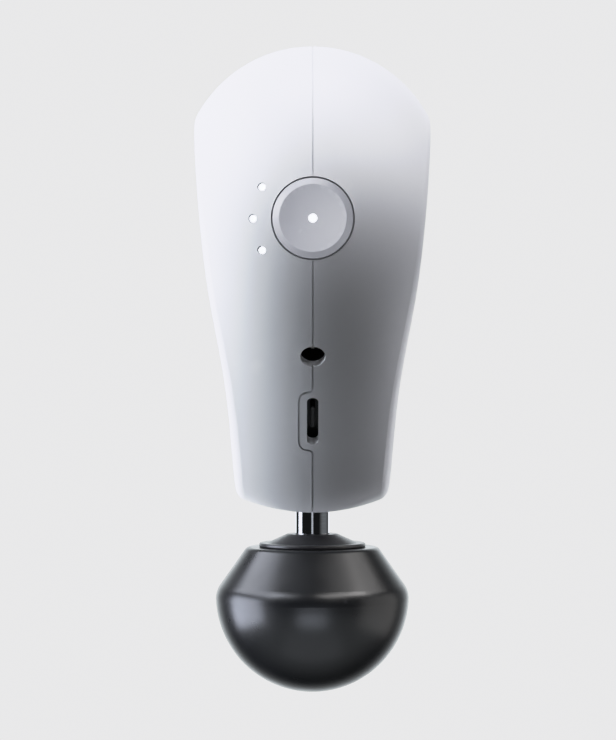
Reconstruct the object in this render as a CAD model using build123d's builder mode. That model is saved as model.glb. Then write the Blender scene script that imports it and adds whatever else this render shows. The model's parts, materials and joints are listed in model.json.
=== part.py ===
"""Compact percussive massage gun with a round massage head, button face towards -Y.

Millimetres, +Z up the output shaft, origin at the lowest point of the ball head on the shaft axis.
"""
import math
import os

from build123d import *

os.makedirs("parts", exist_ok=True)

# ---------------------------------------------------------------- driving dimensions
# Crest of the housing, the outline seen from the side: (y, z) from the top down the front half.
CREST_HALF = [
    (0, 161.1), (-28, 159.9), (-50, 151.8), (-63, 136), (-68, 116), (-65, 99.5),
    (-56, 84.5), (-41.5, 68.8), (-29, 56.5), (-20.5, 48.8), (-11, 46.0), (0, 45.7),
]
# Cheek outline seen from the front: (half width, z) from below the nose to above the top.
CHEEK_HALF = [
    (18.3, 40), (19.1, 53), (19.8, 65), (20.6, 76), (22.2, 87.5),
    (24.2, 99.5), (26.1, 115.5), (28.1, 138.5), (29.9, 165),
]
NOSE_Z = 46.5               # heights between which the housing's width and crown change evenly
CROWN_TOP_Z = 160
FAN_HALF_FOOT = 19.6        # half width of the crowned rim at the nose and at the top
FAN_HALF_TOP = 30.0
CROWN_FOOT = 46             # radius of the rim across its width at the nose and at the top
CROWN_TOP = 32.0
CREST_MIDDLE_Z = 105        # a height well inside the crest outline
RIB_POINTS = 36
FAN_SHARES = [-1.03, -0.95, -0.8, -0.6, -0.3, 0, 0.3, 0.6, 0.8, 0.95, 1.03]
CHEEK_ROUND = 3.5
WALL = 2.2
REACH = 200                 # longer than the whole housing, for through cuts

SEAM_WIDTH = 0.32
SEAM_DEPTH = 0.5
TONGUE_X = -3.3             # the right shell reaches across the middle around the vent
TONGUE_LOW_Z = 62.2
TONGUE_HIGH_Z = 76.2
TONGUE_RUN = 4.0            # straight seam kept with the tongue above and below it
TONGUE_IN_ROUND = 1.0       # corners on the middle line, and the wider ones beside the vent
TONGUE_OUT_ROUND = 2.2

NOSE_HOLE_R = 4.75
BUTTON_Z = 116
BUTTON_HOLE_R = 9.55
LIGHT_HOLE_R = 0.8
LIGHT_MOUTH_R = 1.0
LIGHT_TILT = 24             # the mouths of the light holes lean outwards with the surface
LIGHT_CIRCLE_R = 13.6
LIGHT_ANGLES = [148, 180, 212]
CHARGE_Z = 84.5
CHARGE_HOLE_R = 2.9
VENT_Z = 69.2
VENT_LONG = 16.0
VENT_WIDE = 2.7

SCREW_SPOTS = [(-38, 134), (46, 128), (48, 98), (-18.5, 61), (18.5, 61)]     # (y, z)
BOSS_R = 4.2
SCREW_R = 1.25
SCREW_SEAT_X = 9.0
SCREW_HEAD_R = 2.6
SCREW_HEAD_TALL = 2.2
SCREW_TIP_X = -8.0
RECESS_R = 2.9

SHAFT_R = 4.3
RUNNING_GAP = 0.05
STROKE = 12.0
MOTOR_Z = 95.0
CRANK_THROW = STROKE / 2
YOKE_Z = MOTOR_Z + CRANK_THROW
ROLLER_R = 4.5
YOKE_SLOT_TALL = 12.2
YOKE_WIDE = 30.0
YOKE_TALL = 18.4
YOKE_THICK = 8.0

CELL_R = 9.2
CELL_LONG = 65.0
CELL_FRONT_Y = -31.0
CELL_SPOTS = [(-9.3, 142.0), (9.3, 142.0), (0, 125.9)]     # (x, z)

BOARD_Y = -52.0
BOARD_THICK = 1.6
BOARD_HALF_WIDE = 16.0
BOARD_LOW_Z = 100.0
BOARD_HIGH_Z = 134.0

BALL_R = 24.5


# ---------------------------------------------------------------- helpers
def save(piece, name):
    """Label one piece and write it to its own file."""
    piece.label = name
    export_step(piece, "parts/" + name + ".step")


def facing_front(x, y, z):
    """Plane at a point with its normal towards -Y, local x to +X and local y to +Z."""
    return Plane(origin=(x, y, z), x_dir=(1, 0, 0), z_dir=(0, -1, 0))


def facing_back(x, y, z):
    """Plane at a point with its normal towards +Y."""
    return Plane(origin=(x, y, z), x_dir=(-1, 0, 0), z_dir=(0, 1, 0))


def facing_right(x, y, z):
    """Plane at a point with its normal towards +X."""
    return Plane(origin=(x, y, z), x_dir=(0, 1, 0), z_dir=(1, 0, 0))


crest = Edge.make_spline(
    [Vector(0, y, z) for y, z in CREST_HALF]
    + [Vector(0, -y, z) for y, z in reversed(CREST_HALF[1:-1])],
    periodic=True,
)


def crest_inward(share):
    """Direction square to the crest and into the housing at a share of its length."""
    along = crest.tangent_at(share)
    inward = Vector(0, -along.Z, along.Y)
    spot = crest.position_at(share)
    if inward.dot(Vector(0, 0, CREST_MIDDLE_Z) - spot) < 0:
        inward = inward * -1
    return inward


def between(z, foot, top):
    """Value changing evenly from the nose to the top."""
    return foot + (z - NOSE_Z) * (top - foot) / (CROWN_TOP_Z - NOSE_Z)


def rib_point(at, share, inset):
    """Point of the crowned rim above one crest point, on the fan plane of the given share."""
    spot = crest.position_at(at)
    inward = crest_inward(at)
    crown = between(spot.Z, CROWN_FOOT, CROWN_TOP)

    def side(depth):
        return share * (between(spot.Z + inward.Z * depth, FAN_HALF_FOOT, FAN_HALF_TOP) - inset)

    shallow = 0.0
    deep = crown
    for _ in range(50):
        depth = (shallow + deep) / 2
        x = side(depth)
        rim = crown - inset
        if abs(x) >= rim or depth < crown - math.sqrt(rim**2 - x**2):
            shallow = depth
        else:
            deep = depth
    return Vector(side(deep), spot.Y + inward.Y * deep, spot.Z + inward.Z * deep)


def rib(share, inset):
    """Closed rib of the housing on one fan plane."""
    points = [rib_point(step / RIB_POINTS, share, inset) for step in range(RIB_POINTS)]
    return Wire([Edge.make_spline(points, periodic=True)])


def housing_form(inset):
    """Whole housing as one solid, its surface moved in by the inset."""
    with BuildPart() as form:
        add(Solid.make_loft([rib(share, inset) for share in FAN_SHARES]))
        with BuildSketch(Plane.XZ):
            with BuildLine():
                right = Spline(*[(x - inset, z) for x, z in CHEEK_HALF])
                left = Spline(*[(inset - x, z) for x, z in reversed(CHEEK_HALF)])
                Line(right @ 1, left @ 0)
                Line(left @ 1, right @ 0)
            make_face()
        extrude(amount=REACH / 2, both=True, mode=Mode.INTERSECT)
        rims = form.edges().filter_by(lambda e: abs(e.center().X) > 10 and e.length > 50)
        fillet(rims, radius=CHEEK_ROUND - inset)
    return form.part


def crest_plane(z):
    """Plane on the front crest at a height, normal pointing out, local x along +X."""
    shares = [step / 4000 for step in range(4000)]
    front = [share for share in shares if crest.position_at(share).Y < 0]
    nearest = min(front, key=lambda share: abs(crest.position_at(share).Z - z))
    return Plane(
        origin=crest.position_at(nearest),
        x_dir=(1, 0, 0),
        z_dir=crest_inward(nearest) * -1,
    )


def wire_run(corners, radius, bend):
    """One insulated wire: straight runs joined by tangent arcs."""
    with BuildPart() as run:
        with BuildLine() as path:
            FilletPolyline(*corners, radius=bend)
        start = Plane(origin=path.line @ 0, z_dir=path.line % 0)
        with BuildSketch(start):
            Circle(radius)
        sweep(path=path.line)
    length = sum(piece.length for piece in path.edges())
    print("wire length", round(length, 2), "bend", bend, "volume", round(run.part.volume, 3),
          "section x length", round(math.pi * radius**2 * length, 3))
    return run.part


charge_plane = crest_plane(CHARGE_Z)
vent_plane = crest_plane(VENT_Z)

outer_form = housing_form(0)
seam_form = housing_form(SEAM_DEPTH)
inner_form = housing_form(WALL)
lining_form = housing_form(WALL + 0.05)     # for parts that rest against the inside of the shells
room_form = housing_form(WALL + 0.5)        # for parts that stay clear of the shells

# ---------------------------------------------------------------- seam between the shells
tongue_corners = [
    (0, TONGUE_LOW_Z - TONGUE_RUN), (0, TONGUE_LOW_Z), (TONGUE_X, TONGUE_LOW_Z),
    (TONGUE_X, TONGUE_HIGH_Z), (0, TONGUE_HIGH_Z), (0, TONGUE_HIGH_Z + TONGUE_RUN),
]
tongue_rounds = [TONGUE_IN_ROUND, TONGUE_OUT_ROUND, TONGUE_OUT_ROUND, TONGUE_IN_ROUND]
TONGUE_BACK_Y = -25         # the tongue only crosses the front wall

with BuildPart() as tongue:
    with BuildSketch(facing_front(0, TONGUE_BACK_Y, 0)):
        with BuildLine():
            edge_line = FilletPolyline(*tongue_corners, radius=tongue_rounds)
            Polyline(edge_line @ 1, (3, TONGUE_HIGH_Z + TONGUE_RUN), (3, TONGUE_LOW_Z - TONGUE_RUN),
                     edge_line @ 0)
        make_face()
    extrude(amount=REACH / 2)

with BuildPart() as seam_groove:
    Box(SEAM_WIDTH, REACH, 2 * REACH)
    with Locations((0, TONGUE_BACK_Y - REACH / 2, (TONGUE_LOW_Z + TONGUE_HIGH_Z) / 2)):
        Box(1, REACH, TONGUE_HIGH_Z - TONGUE_LOW_Z + 2 * TONGUE_RUN, mode=Mode.SUBTRACT)
    with BuildSketch(facing_front(0, TONGUE_BACK_Y, 0)):
        with BuildLine() as jog:
            FilletPolyline(*tongue_corners, radius=tongue_rounds)
        trace(jog.line, line_width=SEAM_WIDTH)
    extrude(amount=REACH / 2)
    add(seam_form, mode=Mode.SUBTRACT)

# ---------------------------------------------------------------- openings through the shells
def light_spot(angle):
    """Place across the front, x and z, of one light on its circle around the button."""
    turn = math.radians(angle)
    return LIGHT_CIRCLE_R * math.cos(turn), BUTTON_Z + LIGHT_CIRCLE_R * math.sin(turn)


def light_rods(radius, start_y):
    """Straight rods towards the front, one for each light, up to the seam groove's depth."""
    with BuildPart() as rods:
        for angle in LIGHT_ANGLES:
            x, z = light_spot(angle)
            with BuildSketch(facing_front(x, start_y, z)):
                Circle(radius)
            extrude(amount=20)
        add(seam_form, mode=Mode.INTERSECT)
    return rods.part


with BuildPart() as light_mouths:
    lean = math.radians(LIGHT_TILT)
    for angle in LIGHT_ANGLES:
        x, z = light_spot(angle)
        crossings = seam_form.find_intersection_points(Axis((x, -REACH, z), (0, 1, 0)))
        seat_y = min(point.Y for point, normal in crossings)
        mouth_plane = Plane(origin=(x, seat_y, z), x_dir=(math.cos(lean), -math.sin(lean), 0),
                            z_dir=(-math.sin(lean), -math.cos(lean), 0))
        with BuildSketch(mouth_plane.offset(-1.5)):
            Circle(LIGHT_MOUTH_R)
        extrude(amount=5)
    add(seam_form, mode=Mode.SUBTRACT)

with BuildPart() as light_holes:
    add(light_rods(LIGHT_HOLE_R, -55))
    add(light_mouths.part)

with BuildPart() as openings:
    with Locations((0, 0, NOSE_Z)):
        Cylinder(NOSE_HOLE_R, 12)
    with BuildSketch(facing_front(0, -55, BUTTON_Z)):
        Circle(BUTTON_HOLE_R)
    extrude(amount=20)
    add(light_holes.part)
    with BuildSketch(charge_plane.offset(-WALL * 2)):
        Circle(CHARGE_HOLE_R)
    extrude(amount=WALL * 4)
    with BuildSketch(vent_plane.offset(-WALL * 1.5)):
        SlotOverall(VENT_LONG, VENT_WIDE, rotation=90)
    extrude(amount=WALL * 3)

# ---------------------------------------------------------------- left and right shells
RAIL_LOW_Z = 108            # rails on both cheeks that hold the control board by its edges
RAIL_TALL = 16
RAIL_IN_X = 14.8


def board_rail(side):
    """Grooved rail on one cheek, side -1 left or +1 right."""
    with BuildPart() as rail:
        with Locations((side * (RAIL_IN_X + 6), BOARD_Y + BOARD_THICK / 2, RAIL_LOW_Z + RAIL_TALL / 2)):
            Box(12, 5.6, RAIL_TALL)
        with Locations((0, BOARD_Y + BOARD_THICK / 2, RAIL_LOW_Z + RAIL_TALL / 2)):
            Box(2 * BOARD_HALF_WIDE + 0.1, BOARD_THICK + 0.1, RAIL_TALL, mode=Mode.SUBTRACT)
        add(seam_form, mode=Mode.INTERSECT)
    return rail.part


with BuildPart() as left_bosses:
    for y, z in SCREW_SPOTS:
        with BuildSketch(facing_right(-REACH / 4, y, z)):
            Circle(BOSS_R)
        extrude(amount=REACH / 4)
    add(seam_form, mode=Mode.INTERSECT)
    for y, z in SCREW_SPOTS:
        with BuildSketch(facing_right(SCREW_TIP_X - 1, y, z)):
            Circle(SCREW_R)
        extrude(amount=-SCREW_TIP_X + 1, mode=Mode.SUBTRACT)

with BuildPart() as right_bosses:
    for y, z in SCREW_SPOTS:
        with BuildSketch(facing_right(0, y, z)):
            Circle(BOSS_R)
        extrude(amount=REACH / 4)
    add(seam_form, mode=Mode.INTERSECT)

with BuildPart() as left_shell:
    add(outer_form)
    add(inner_form, mode=Mode.SUBTRACT)
    with Locations((-REACH / 2, 0, 100)):
        Box(REACH, REACH, REACH, mode=Mode.INTERSECT)
    add(tongue.part, mode=Mode.SUBTRACT)
    add(left_bosses.part)
    add(board_rail(-1))
    add(openings.part, mode=Mode.SUBTRACT)
    add(seam_groove.part, mode=Mode.SUBTRACT)
save(left_shell.part, "left_shell")

with BuildPart() as tongue_wall:
    add(outer_form)
    add(inner_form, mode=Mode.SUBTRACT)
    add(tongue.part, mode=Mode.INTERSECT)

with BuildPart() as right_shell:
    add(outer_form)
    add(inner_form, mode=Mode.SUBTRACT)
    with Locations((REACH / 2, 0, 100)):
        Box(REACH, REACH, REACH, mode=Mode.INTERSECT)
    add(tongue_wall.part)
    add(right_bosses.part)
    add(board_rail(1))
    for y, z in SCREW_SPOTS:
        with BuildSketch(facing_right(0, y, z)):
            Circle(SCREW_R + 0.25)
        extrude(amount=SCREW_SEAT_X, mode=Mode.SUBTRACT)
        with BuildSketch(facing_right(SCREW_SEAT_X, y, z)):
            Circle(RECESS_R)
        extrude(amount=REACH / 4, mode=Mode.SUBTRACT)
    add(openings.part, mode=Mode.SUBTRACT)
    add(seam_groove.part, mode=Mode.SUBTRACT)
save(right_shell.part, "right_shell")

with BuildPart() as shell_screws:
    for y, z in SCREW_SPOTS:
        with BuildSketch(facing_right(SCREW_TIP_X, y, z)):
            Circle(SCREW_R)
        extrude(amount=SCREW_SEAT_X - SCREW_TIP_X)
        with BuildSketch(facing_right(SCREW_SEAT_X, y, z)):
            Circle(SCREW_HEAD_R)
        extrude(amount=SCREW_HEAD_TALL)
        with BuildSketch(facing_right(SCREW_SEAT_X + SCREW_HEAD_TALL, y, z)):
            RegularPolygon(1.2, 6)
        extrude(amount=-1.4, mode=Mode.SUBTRACT)
save(shell_screws.part, "shell_screws")

with BuildPart() as screw_plugs:
    for y, z in SCREW_SPOTS:
        with BuildSketch(facing_right(SCREW_SEAT_X + SCREW_HEAD_TALL + 0.2, y, z)):
            Circle(RECESS_R - 0.02)
        extrude(amount=REACH / 4)
    add(seam_form, mode=Mode.INTERSECT)
save(screw_plugs.part, "screw_plugs")

# ---------------------------------------------------------------- rubber wiper at the nose
WIPER_LOW_Z = 48.6
WIPER_TALL = 2.0
with BuildPart() as nose_seal:
    with Locations((0, 0, WIPER_LOW_Z + WIPER_TALL / 2)):
        Cylinder(7.0, WIPER_TALL)
        Cylinder(SHAFT_R + RUNNING_GAP, WIPER_TALL, mode=Mode.SUBTRACT)
save(nose_seal.part, "nose_seal")

# ---------------------------------------------------------------- chassis with the guide tube
TUBE_R = 8.0
TUBE_BORE_R = 6.0
TUBE_LOW_Z = 50.8
TUBE_HIGH_Z = 78.0
PLATE_Y = 10.0
PLATE_THICK = 3.0
PLATE_HALF_WIDE = 16.2
PLATE_TOP_Z = 111.0
MOTOR_TUBE_R = 6.0
MOTOR_FIX_R = 8.4           # circle of the four motor screws

motor_screw_spots = [
    (MOTOR_FIX_R * math.cos(math.radians(a)), MOTOR_Z + MOTOR_FIX_R * math.sin(math.radians(a)))
    for a in (45, 135, 225, 315)
]

with BuildPart() as chassis:
    with Locations((0, PLATE_Y + PLATE_THICK / 2, (TUBE_LOW_Z + PLATE_TOP_Z) / 2)):
        Box(2 * PLATE_HALF_WIDE, PLATE_THICK, PLATE_TOP_Z - TUBE_LOW_Z)
    fillet(chassis.edges().filter_by(Axis.Y), radius=3)
    with Locations((0, 0, (TUBE_LOW_Z + TUBE_HIGH_Z) / 2)):
        Cylinder(TUBE_R, TUBE_HIGH_Z - TUBE_LOW_Z)
    with Locations((0, PLATE_Y - 2.5, (TUBE_LOW_Z + TUBE_HIGH_Z) / 2)):
        Box(10, 5, TUBE_HIGH_Z - TUBE_LOW_Z)
    with Locations((0, 0, (TUBE_LOW_Z + TUBE_HIGH_Z) / 2)):
        Cylinder(TUBE_BORE_R, TUBE_HIGH_Z - TUBE_LOW_Z, mode=Mode.SUBTRACT)
    with BuildSketch(facing_back(0, PLATE_Y, MOTOR_Z)):
        Circle(MOTOR_TUBE_R)
    extrude(amount=PLATE_THICK, mode=Mode.SUBTRACT)
    for x, z in motor_screw_spots:
        with BuildSketch(facing_back(x, PLATE_Y, z)):
            Circle(1.0)
        extrude(amount=PLATE_THICK, mode=Mode.SUBTRACT)
    add(room_form, mode=Mode.INTERSECT)
save(chassis.part, "chassis")


def bush(low_z, high_z):
    """Sintered bush in the guide tube."""
    with BuildPart() as ring:
        with Locations((0, 0, (low_z + high_z) / 2)):
            Cylinder(TUBE_BORE_R, high_z - low_z)
            Cylinder(SHAFT_R + RUNNING_GAP, high_z - low_z, mode=Mode.SUBTRACT)
    return ring.part


save(bush(TUBE_LOW_Z, 60), "lower_bush")
save(bush(68, TUBE_HIGH_Z), "upper_bush")

PAD_ZS = [69, 102]          # pads that clip over the plate's edges and rest on the shells
PAD_IN_X = 15.2
PAD_LIP = 2.0
PAD_TALL = 9.0

with BuildPart() as damper_pads:
    for side in (-1, 1):
        for middle_z in PAD_ZS:
            with Locations((side * (PAD_IN_X + 5), PLATE_Y + PLATE_THICK / 2, middle_z)):
                Box(10, PLATE_THICK + 2 * PAD_LIP, PAD_TALL)
    with Locations((0, PLATE_Y + PLATE_THICK / 2, (TUBE_LOW_Z + PLATE_TOP_Z) / 2)):
        Box(2 * PLATE_HALF_WIDE, PLATE_THICK, PLATE_TOP_Z - TUBE_LOW_Z, mode=Mode.SUBTRACT)
    add(lining_form, mode=Mode.INTERSECT)
save(damper_pads.part, "damper_pads")

# ---------------------------------------------------------------- outrunner motor
FLANGE_R = 10.0
FLANGE_BACK_Y = 15.4
MOTOR_TUBE_FRONT_Y = PLATE_Y + 0.2
MOTOR_TUBE_BACK_Y = 32.0
BEARING_R = 4.5
BEARING_LONG = 4.0
BEARING_FRONTS = [MOTOR_TUBE_FRONT_Y, MOTOR_TUBE_BACK_Y - BEARING_LONG]
MOTOR_SHAFT_R = 2.0
STATOR_FRONT_Y = 17.0
STATOR_LONG = 14.0
TOOTH_TIP_R = 14.2
TEETH = 9
MAGNET_IN_R = 14.8
MAGNET_OUT_R = 16.8
MAGNETS = 12
CAN_R = 18.0
CAN_FRONT_Y = 16.5
CAN_BACK_Y = 34.8
CAN_END = 1.5

with BuildPart() as motor_base:
    with BuildSketch(facing_back(0, PLATE_Y + PLATE_THICK, MOTOR_Z)):
        Circle(FLANGE_R)
    extrude(amount=FLANGE_BACK_Y - PLATE_Y - PLATE_THICK)
    with BuildSketch(facing_back(0, MOTOR_TUBE_FRONT_Y, MOTOR_Z)):
        Circle(MOTOR_TUBE_R)
    extrude(amount=MOTOR_TUBE_BACK_Y - MOTOR_TUBE_FRONT_Y)
    with BuildSketch(facing_back(0, MOTOR_TUBE_FRONT_Y, MOTOR_Z)):
        Circle(BEARING_R)
    extrude(amount=MOTOR_TUBE_BACK_Y - MOTOR_TUBE_FRONT_Y, mode=Mode.SUBTRACT)
    for x, z in motor_screw_spots:
        with BuildSketch(facing_back(x, PLATE_Y + PLATE_THICK, z)):
            Circle(1.0)
        extrude(amount=FLANGE_BACK_Y - PLATE_Y - PLATE_THICK, mode=Mode.SUBTRACT)
save(motor_base.part, "motor_base")

with BuildPart() as motor_screws:
    for x, z in motor_screw_spots:
        with BuildSketch(facing_back(x, PLATE_Y, z)):
            Circle(1.0)
        extrude(amount=FLANGE_BACK_Y - PLATE_Y)
        with BuildSketch(facing_front(x, PLATE_Y, z)):
            Circle(1.7)
        extrude(amount=0.9)
save(motor_screws.part, "motor_screws")

with BuildPart() as motor_bearings:
    for front_y in BEARING_FRONTS:
        with BuildSketch(facing_back(0, front_y, MOTOR_Z)):
            Circle(BEARING_R)
            Circle(MOTOR_SHAFT_R + RUNNING_GAP, mode=Mode.SUBTRACT)
        extrude(amount=BEARING_LONG)
save(motor_bearings.part, "motor_bearings")

with BuildPart() as stator_core:
    with BuildSketch(facing_back(0, STATOR_FRONT_Y, MOTOR_Z)):
        Circle(8.2)
        with PolarLocations(0, TEETH):
            with Locations((10.4, 0)):
                Rectangle(5.6, 2.6)
        with BuildSketch(mode=Mode.PRIVATE) as tip_ring:
            Circle(TOOTH_TIP_R)
            Circle(12.9, mode=Mode.SUBTRACT)
            with PolarLocations(0, TEETH, start_angle=180 / TEETH):
                with Locations((13.5, 0)):
                    Rectangle(4, 2.2, mode=Mode.SUBTRACT)
        add(tip_ring.sketch)
        Circle(MOTOR_TUBE_R, mode=Mode.SUBTRACT)
    extrude(amount=STATOR_LONG)
save(stator_core.part, "stator_core")

COIL_END = 1.2              # height of each winding beyond the core
COIL_SPREAD = 1.1           # thickness of each winding beside its tooth
with BuildPart() as stator_coils:
    with BuildSketch(facing_back(0, STATOR_FRONT_Y - COIL_END, MOTOR_Z)):
        with PolarLocations(0, TEETH):
            with Locations((10.7, 0)):
                Rectangle(3.7, 2.6 + 2 * COIL_SPREAD)
    extrude(amount=STATOR_LONG + 2 * COIL_END)
    with BuildSketch(facing_back(0, STATOR_FRONT_Y, MOTOR_Z)):
        with PolarLocations(0, TEETH):
            with Locations((10.4, 0)):
                Rectangle(5.6, 2.6)
    extrude(amount=STATOR_LONG, mode=Mode.SUBTRACT)
save(stator_coils.part, "stator_coils")

with BuildPart() as rotor_can:
    with BuildSketch(facing_back(0, CAN_FRONT_Y, MOTOR_Z)):
        Circle(CAN_R)
    extrude(amount=CAN_BACK_Y - CAN_FRONT_Y)
    fillet(rotor_can.faces().sort_by(Axis.Y)[-1].edges(), radius=1.0)
    with BuildSketch(facing_back(0, CAN_FRONT_Y, MOTOR_Z)):
        Circle(MAGNET_OUT_R)
    extrude(amount=CAN_BACK_Y - CAN_END - CAN_FRONT_Y, mode=Mode.SUBTRACT)
    with BuildSketch(facing_back(0, CAN_BACK_Y - CAN_END, MOTOR_Z)):
        with PolarLocations(11, 6):
            Circle(3.2)
        Circle(MOTOR_SHAFT_R)
    extrude(amount=CAN_END, mode=Mode.SUBTRACT)
save(rotor_can.part, "rotor_can")

with BuildPart() as rotor_magnets:
    with BuildSketch(facing_back(0, STATOR_FRONT_Y, MOTOR_Z)):
        Circle(MAGNET_OUT_R)
        Circle(MAGNET_IN_R, mode=Mode.SUBTRACT)
        with PolarLocations(0, MAGNETS):
            with Locations((16, 0)):
                Rectangle(6, 0.6, mode=Mode.SUBTRACT)
    extrude(amount=STATOR_LONG)
save(rotor_magnets.part, "rotor_magnets")

# ---------------------------------------------------------------- crank
DISC_FRONT_Y = 4.8
DISC_BACK_Y = 8.6
DISC_R = 10.0
WEIGHT_R = 14.6
PIN_R = 2.0
PIN_FRONT_Y = -5.0

with BuildPart() as motor_shaft:
    with BuildSketch(facing_back(0, DISC_FRONT_Y, MOTOR_Z)):
        Circle(MOTOR_SHAFT_R)
    extrude(amount=CAN_BACK_Y + 1 - DISC_FRONT_Y)
save(motor_shaft.part, "motor_shaft")

with BuildPart() as crank_disc:
    with BuildSketch(facing_back(0, DISC_FRONT_Y, MOTOR_Z)):
        Circle(DISC_R)
        with BuildSketch(mode=Mode.PRIVATE) as weight:
            Circle(WEIGHT_R)
            with Locations((0, WEIGHT_R - 3)):
                Rectangle(4 * WEIGHT_R, 2 * WEIGHT_R, mode=Mode.SUBTRACT)
        add(weight.sketch)
        Circle(MOTOR_SHAFT_R, mode=Mode.SUBTRACT)
        with Locations((0, CRANK_THROW)):
            Circle(PIN_R, mode=Mode.SUBTRACT)
    extrude(amount=DISC_BACK_Y - DISC_FRONT_Y)
save(crank_disc.part, "crank_disc")

with BuildPart() as crank_pin:
    with BuildSketch(facing_back(0, PIN_FRONT_Y, YOKE_Z)):
        Circle(PIN_R)
    extrude(amount=DISC_BACK_Y - PIN_FRONT_Y)
save(crank_pin.part, "crank_pin")

with BuildPart() as roller_clip:
    with BuildSketch(facing_back(0, -4.5, YOKE_Z)):
        Circle(3.4)
        Circle(PIN_R, mode=Mode.SUBTRACT)
        with Locations((0, 3)):
            Rectangle(1.6, 4, mode=Mode.SUBTRACT)
    extrude(amount=0.7)
save(roller_clip.part, "roller_clip")

ROLLER_HALF = 3.4
with BuildPart() as crank_roller:
    with BuildSketch(facing_back(0, -ROLLER_HALF, YOKE_Z)):
        Circle(ROLLER_R)
        Circle(PIN_R + RUNNING_GAP, mode=Mode.SUBTRACT)
    extrude(amount=2 * ROLLER_HALF)
save(crank_roller.part, "crank_roller")

# ---------------------------------------------------------------- yoke and output shaft
SPIGOT_R = 2.5
SHAFT_FOOT_Z = 14.0
YOKE_FOOT_Z = YOKE_Z - YOKE_TALL / 2
SLOT_FOOT_Z = YOKE_Z - YOKE_SLOT_TALL / 2
O_RING_ZS = [19.0, 31.0]
O_RING_R = 0.45
O_RING_CENTRE_R = SHAFT_R - O_RING_R
O_RING_GROOVE_TALL = 1.2

with BuildPart() as yoke:
    with BuildSketch(facing_back(0, -YOKE_THICK / 2, YOKE_Z)):
        RectangleRounded(YOKE_WIDE, YOKE_TALL, 4)
        SlotOverall(2 * CRANK_THROW + YOKE_SLOT_TALL, YOKE_SLOT_TALL, mode=Mode.SUBTRACT)
    extrude(amount=YOKE_THICK)
    with BuildSketch(Plane.XY.offset(YOKE_FOOT_Z)):
        Circle(SPIGOT_R)
    extrude(amount=SLOT_FOOT_Z - YOKE_FOOT_Z, mode=Mode.SUBTRACT)
save(yoke.part, "yoke")

with BuildPart() as output_shaft:
    with BuildSketch(Plane.XY.offset(SHAFT_FOOT_Z)):
        Circle(SHAFT_R)
    extrude(amount=YOKE_FOOT_Z - SHAFT_FOOT_Z)
    chamfer(output_shaft.faces().sort_by(Axis.Z)[0].edges(), length=0.8)
    with BuildSketch(Plane.XY.offset(YOKE_FOOT_Z)):
        Circle(SPIGOT_R)
    extrude(amount=SLOT_FOOT_Z - YOKE_FOOT_Z - 0.1)
    for z in O_RING_ZS:
        with BuildSketch(Plane.XY.offset(z - O_RING_GROOVE_TALL / 2)):
            Circle(SHAFT_R + 1)
            Circle(SHAFT_R - 2 * O_RING_R, mode=Mode.SUBTRACT)
        extrude(amount=O_RING_GROOVE_TALL, mode=Mode.SUBTRACT)
save(output_shaft.part, "output_shaft")

with BuildPart() as shaft_o_rings:
    for z in O_RING_ZS:
        with Locations((0, 0, z)):
            Torus(O_RING_CENTRE_R, O_RING_R)
save(shaft_o_rings.part, "shaft_o_rings")

# ---------------------------------------------------------------- massage head
BORE_FOOT_Z = 13.0
CORE_STEM_R = 9.0
CORE_STEM_FOOT_Z = 9.0
COLLAR_TOP_Z = 40.0
COLLAR_TOP_R = 6.4
COLLAR_FOOT_R = 11.4
FLANGE_TOP_Z = 37.75
FLANGE_FOOT_Z = 36.7
HEAD_FLANGE_R = 13.5
SHOULDER_R = 16.65
SHOULDER_ROUND = 1.5

with BuildPart() as head_core:
    with BuildSketch(Plane.XZ):
        with BuildLine():
            Polyline(
                (0, CORE_STEM_FOOT_Z), (CORE_STEM_R, CORE_STEM_FOOT_Z), (CORE_STEM_R, FLANGE_FOOT_Z),
                (HEAD_FLANGE_R, FLANGE_FOOT_Z), (HEAD_FLANGE_R, FLANGE_TOP_Z),
                (COLLAR_FOOT_R, FLANGE_TOP_Z), (COLLAR_TOP_R, COLLAR_TOP_Z), (0, COLLAR_TOP_Z),
                close=True,
            )
        make_face()
    revolve(axis=Axis.Z)
    rims = head_core.edges().filter_by(GeomType.CIRCLE)
    fillet(rims.filter_by(lambda e: abs(e.radius - HEAD_FLANGE_R) < 0.01), radius=0.4)
    fillet(rims.filter_by(lambda e: abs(e.radius - CORE_STEM_R) < 0.01 and e.center().Z < 20), radius=1.5)
    with BuildSketch(Plane.XY.offset(BORE_FOOT_Z)):
        Circle(SHAFT_R + RUNNING_GAP)
    extrude(amount=COLLAR_TOP_Z - BORE_FOOT_Z, mode=Mode.SUBTRACT)
save(head_core.part, "head_core")

CONE_FOOT_Z = 25.6          # the cone meets the sphere a little above its middle
CONE_FOOT_R = math.sqrt(BALL_R**2 - (CONE_FOOT_Z - BALL_R) ** 2)
CONE_BLEND = 6.0

with BuildPart() as head_ball:
    with BuildSketch(Plane.XZ):
        with BuildLine():
            ThreePointArc(
                (0, 0),
                (BALL_R * math.cos(math.radians(45)), BALL_R * (1 - math.sin(math.radians(45)))),
                (CONE_FOOT_R, CONE_FOOT_Z),
            )
            Polyline((CONE_FOOT_R, CONE_FOOT_Z), (SHOULDER_R, FLANGE_FOOT_Z), (0, FLANGE_FOOT_Z), (0, 0))
        make_face()
    revolve(axis=Axis.Z)
    rims = head_ball.edges().filter_by(GeomType.CIRCLE)
    fillet(rims.filter_by(lambda e: abs(e.radius - SHOULDER_R) < 0.01), radius=SHOULDER_ROUND)
    rims = head_ball.edges().filter_by(GeomType.CIRCLE)
    fillet(rims.filter_by(lambda e: abs(e.center().Z - CONE_FOOT_Z) < 0.01), radius=CONE_BLEND)
    add(head_core.part, mode=Mode.SUBTRACT)
    with BuildSketch(Plane.XY.offset(BORE_FOOT_Z)):
        Circle(SHAFT_R + 1)
    extrude(amount=COLLAR_TOP_Z - BORE_FOOT_Z, mode=Mode.SUBTRACT)
save(head_ball.part, "head_ball")

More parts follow.
